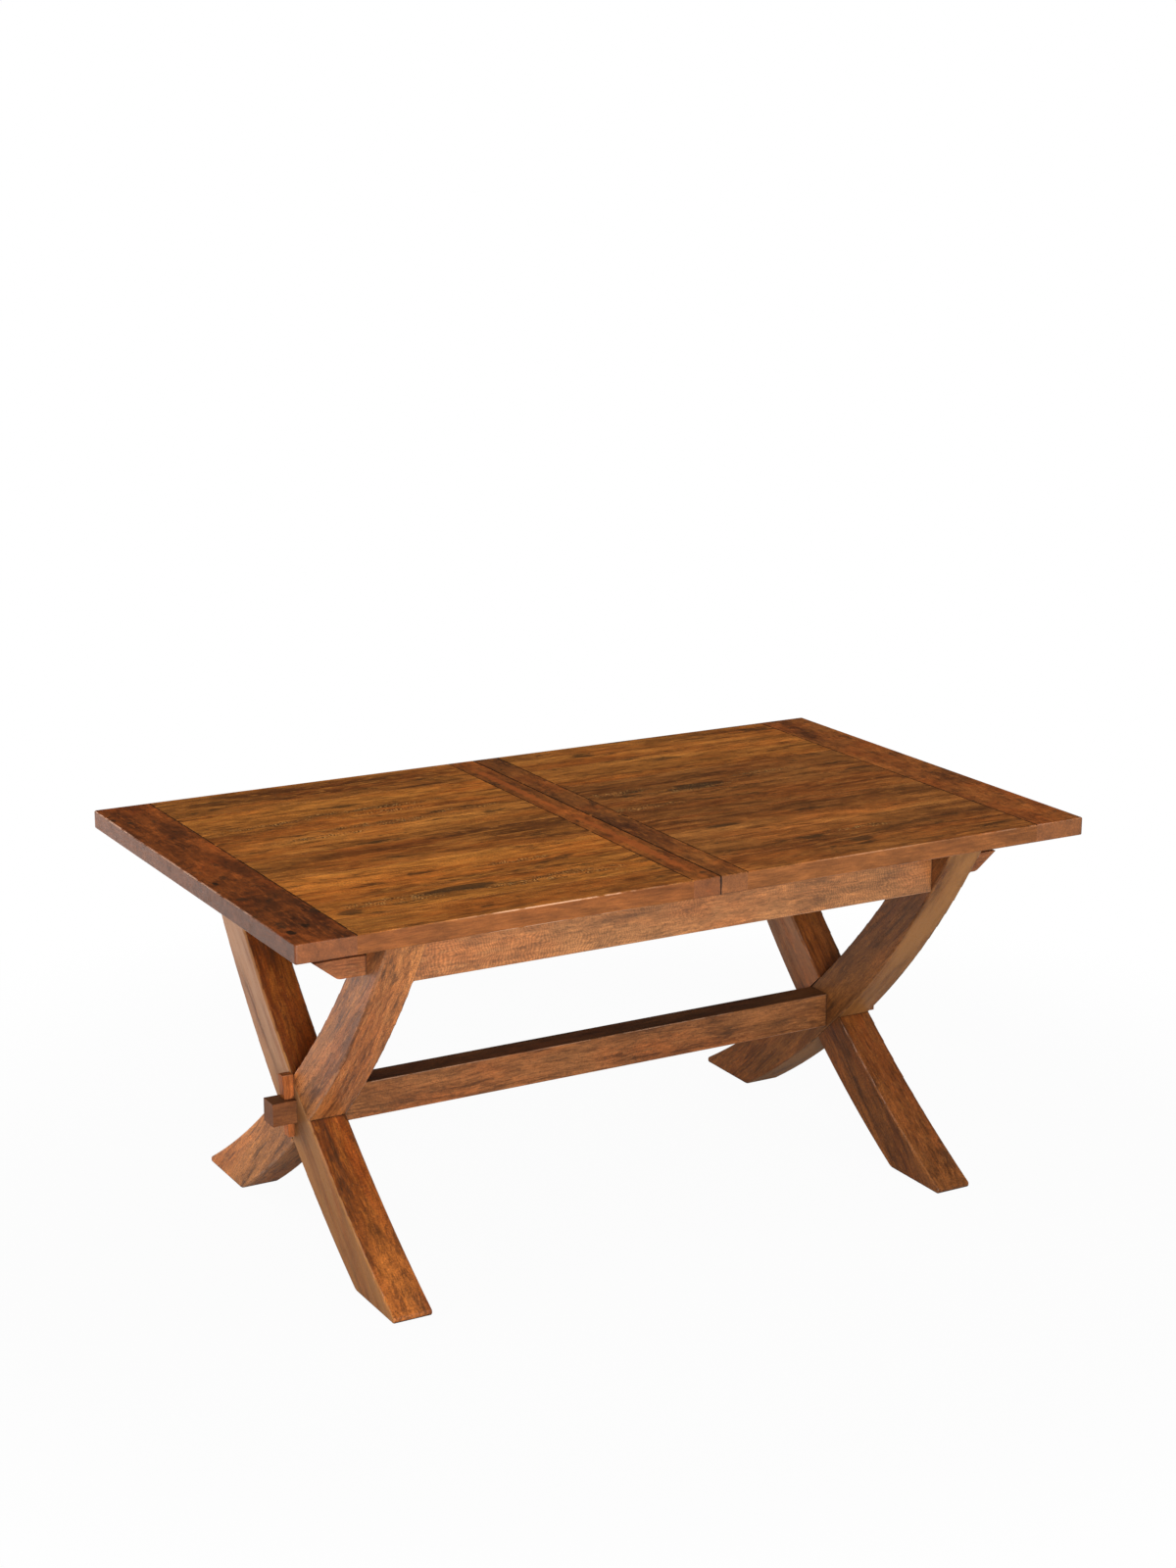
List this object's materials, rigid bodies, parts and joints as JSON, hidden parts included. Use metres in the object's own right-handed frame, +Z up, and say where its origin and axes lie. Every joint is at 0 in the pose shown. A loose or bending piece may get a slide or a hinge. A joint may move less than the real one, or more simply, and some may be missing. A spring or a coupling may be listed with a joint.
{
  "type": "sawbuck table",
  "caption": "Wooden dining table on curved X trestles tied by a wedged stretcher; the plank top is cut across its middle and the halves slide apart to take a stored leaf.",
  "frame": {"origin": "on the floor, below the middle of the top", "axes": "+X along the table to the right, +Y from the front to the back, +Z up"},
  "size_m": [1.7, 1, 0.77],
  "materials": {
    "plank_wood": "satin lacquer",
    "cross_board_wood": "satin lacquer",
    "frame_wood": "satin lacquer",
    "runner_wood": "planed, waxed",
    "leaf_wood": "satin lacquer",
    "dowel_wood": "bare, fluted",
    "screw_steel": "zinc",
    "catch_steel": "zinc",
    "hinge_brass": "satin"
  },
  "bodies": {
    "base": {"left_front_foot_leg": "frame_wood", "left_back_foot_leg": "frame_wood", "left_trestle_bearer": "runner_wood", "left_stop_block": "runner_wood", "left_leaf_bearer": "runner_wood", "right_front_foot_leg": "frame_wood", "right_back_foot_leg": "frame_wood", "right_trestle_bearer": "runner_wood", "right_stop_block": "runner_wood", "right_leaf_bearer": "runner_wood", "front_apron": "frame_wood", "front_guide_strip": "runner_wood", "back_apron": "frame_wood", "back_guide_strip": "runner_wood", "stretcher": "frame_wood", "leaf_lower_panel": "leaf_wood", "leaf_upper_panel": "leaf_wood", "leaf_hinges": "hinge_brass"},
    "left_top": {"left_screws": "screw_steel", "left_end_board": "cross_board_wood", "left_centre_board": "cross_board_wood", "left_plank_1": "plank_wood", "left_plank_2": "plank_wood", "left_plank_3": "plank_wood", "left_plank_4": "plank_wood", "left_plank_5": "plank_wood", "left_plank_6": "plank_wood", "left_plank_7": "plank_wood", "left_front_runner": "runner_wood", "left_back_runner": "runner_wood", "left_batten": "runner_wood", "split_dowels": "dowel_wood", "catch_pivots": "catch_steel"},
    "right_top": {"right_screws": "screw_steel", "right_end_board": "cross_board_wood", "right_centre_board": "cross_board_wood", "right_plank_1": "plank_wood", "right_plank_2": "plank_wood", "right_plank_3": "plank_wood", "right_plank_4": "plank_wood", "right_plank_5": "plank_wood", "right_plank_6": "plank_wood", "right_plank_7": "plank_wood", "right_front_runner": "runner_wood", "right_back_runner": "runner_wood", "right_batten": "runner_wood", "catch_keepers": "catch_steel"},
    "front_catch": {"front_catch": "catch_steel"},
    "back_catch": {"back_catch": "catch_steel"},
    "left_wedge": {"left_wedge": "frame_wood"},
    "right_wedge": {"right_wedge": "frame_wood"}
  },
  "joints": [
    {"name": "left_top_slide", "type": "slide", "parent": "base", "child": "left_top", "axis": [-1, 0, 0], "range_m": [0, 0.225]},
    {"name": "right_top_slide", "type": "slide", "parent": "base", "child": "right_top", "axis": [1, 0, 0], "range_m": [0, 0.225]},
    {"name": "front_catch_turn", "type": "hinge", "parent": "left_top", "child": "front_catch", "pos_m": [-0.032, -0.18, 0.7286], "axis": [0, 0, 1], "range_deg": [-90, 0]},
    {"name": "back_catch_turn", "type": "hinge", "parent": "left_top", "child": "back_catch", "pos_m": [-0.032, 0.18, 0.7286], "axis": [0, 0, 1], "range_deg": [0, 90]},
    {"name": "left_wedge_lift", "type": "slide", "parent": "base", "child": "left_wedge", "axis": [0, 0, 1], "range_m": [0, 0.09]},
    {"name": "right_wedge_lift", "type": "slide", "parent": "base", "child": "right_wedge", "axis": [0, 0, 1], "range_m": [0, 0.09]}
  ]
}
